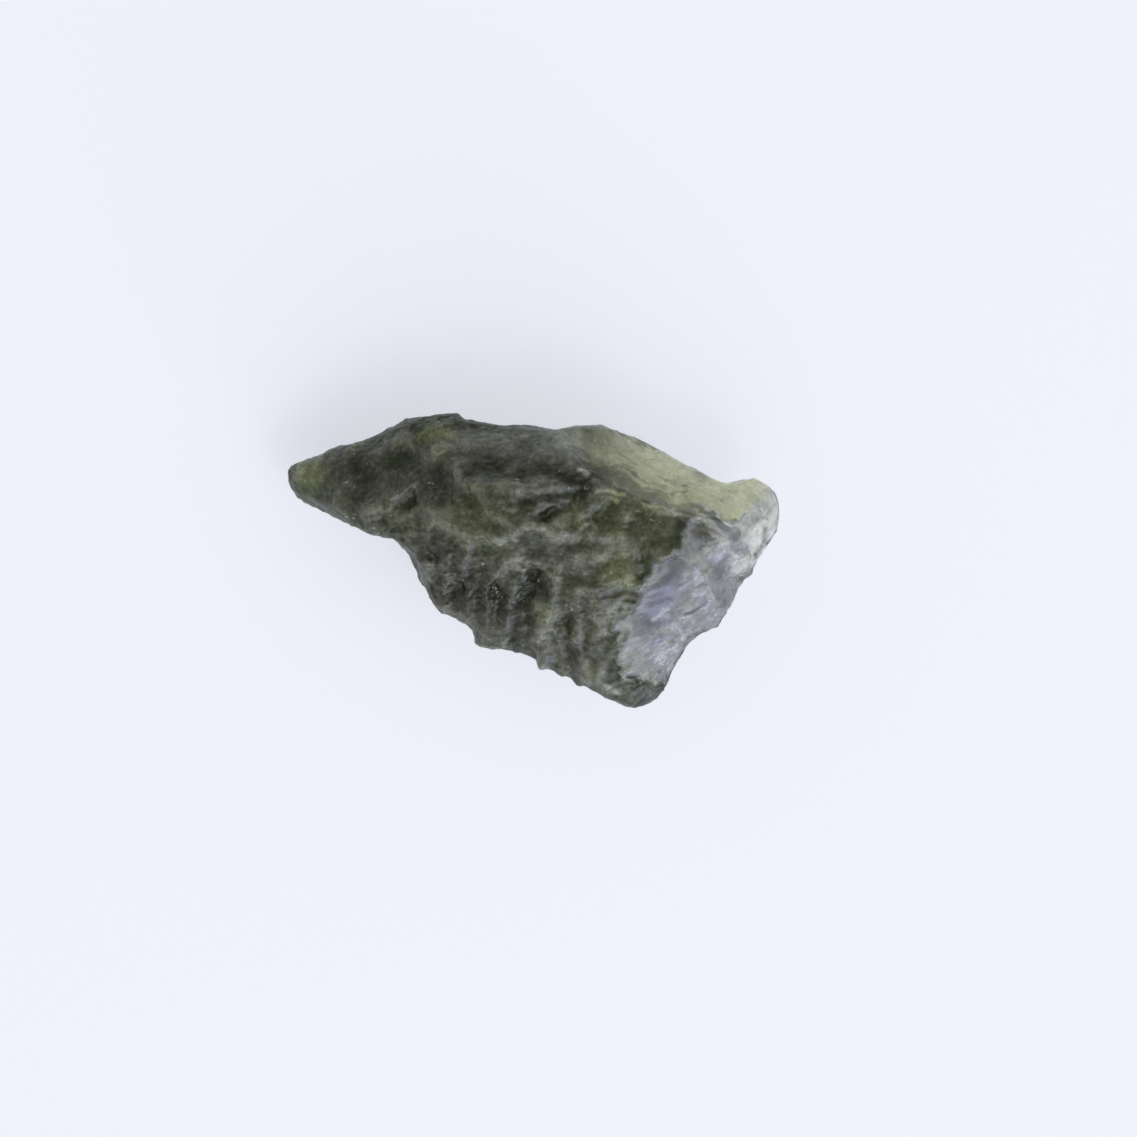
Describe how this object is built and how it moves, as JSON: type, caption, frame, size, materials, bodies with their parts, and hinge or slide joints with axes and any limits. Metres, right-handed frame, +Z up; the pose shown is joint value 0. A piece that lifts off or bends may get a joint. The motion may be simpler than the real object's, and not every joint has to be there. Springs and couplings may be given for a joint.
{
  "type": "raw moldavite",
  "caption": "Elongated piece of raw green natural glass with an etched, fluted skin, a thin wing along its back and one broken end; rests on a small flat spot.",
  "frame": {"origin": "middle of the stone's box seen from above, on the surface it rests on", "axes": "+X along the stone from the narrow tip to the broken end, +Y across it towards the thin wing at the back, +Z up"},
  "size_m": [0.022, 0.012, 0.007],
  "materials": {
    "moldavite_glass": "olive to bottle green see-through natural glass: satin, finely etched skin, glossy where broken"
  },
  "bodies": {
    "root": {"moldavite": "moldavite_glass"}
  },
  "joints": []
}
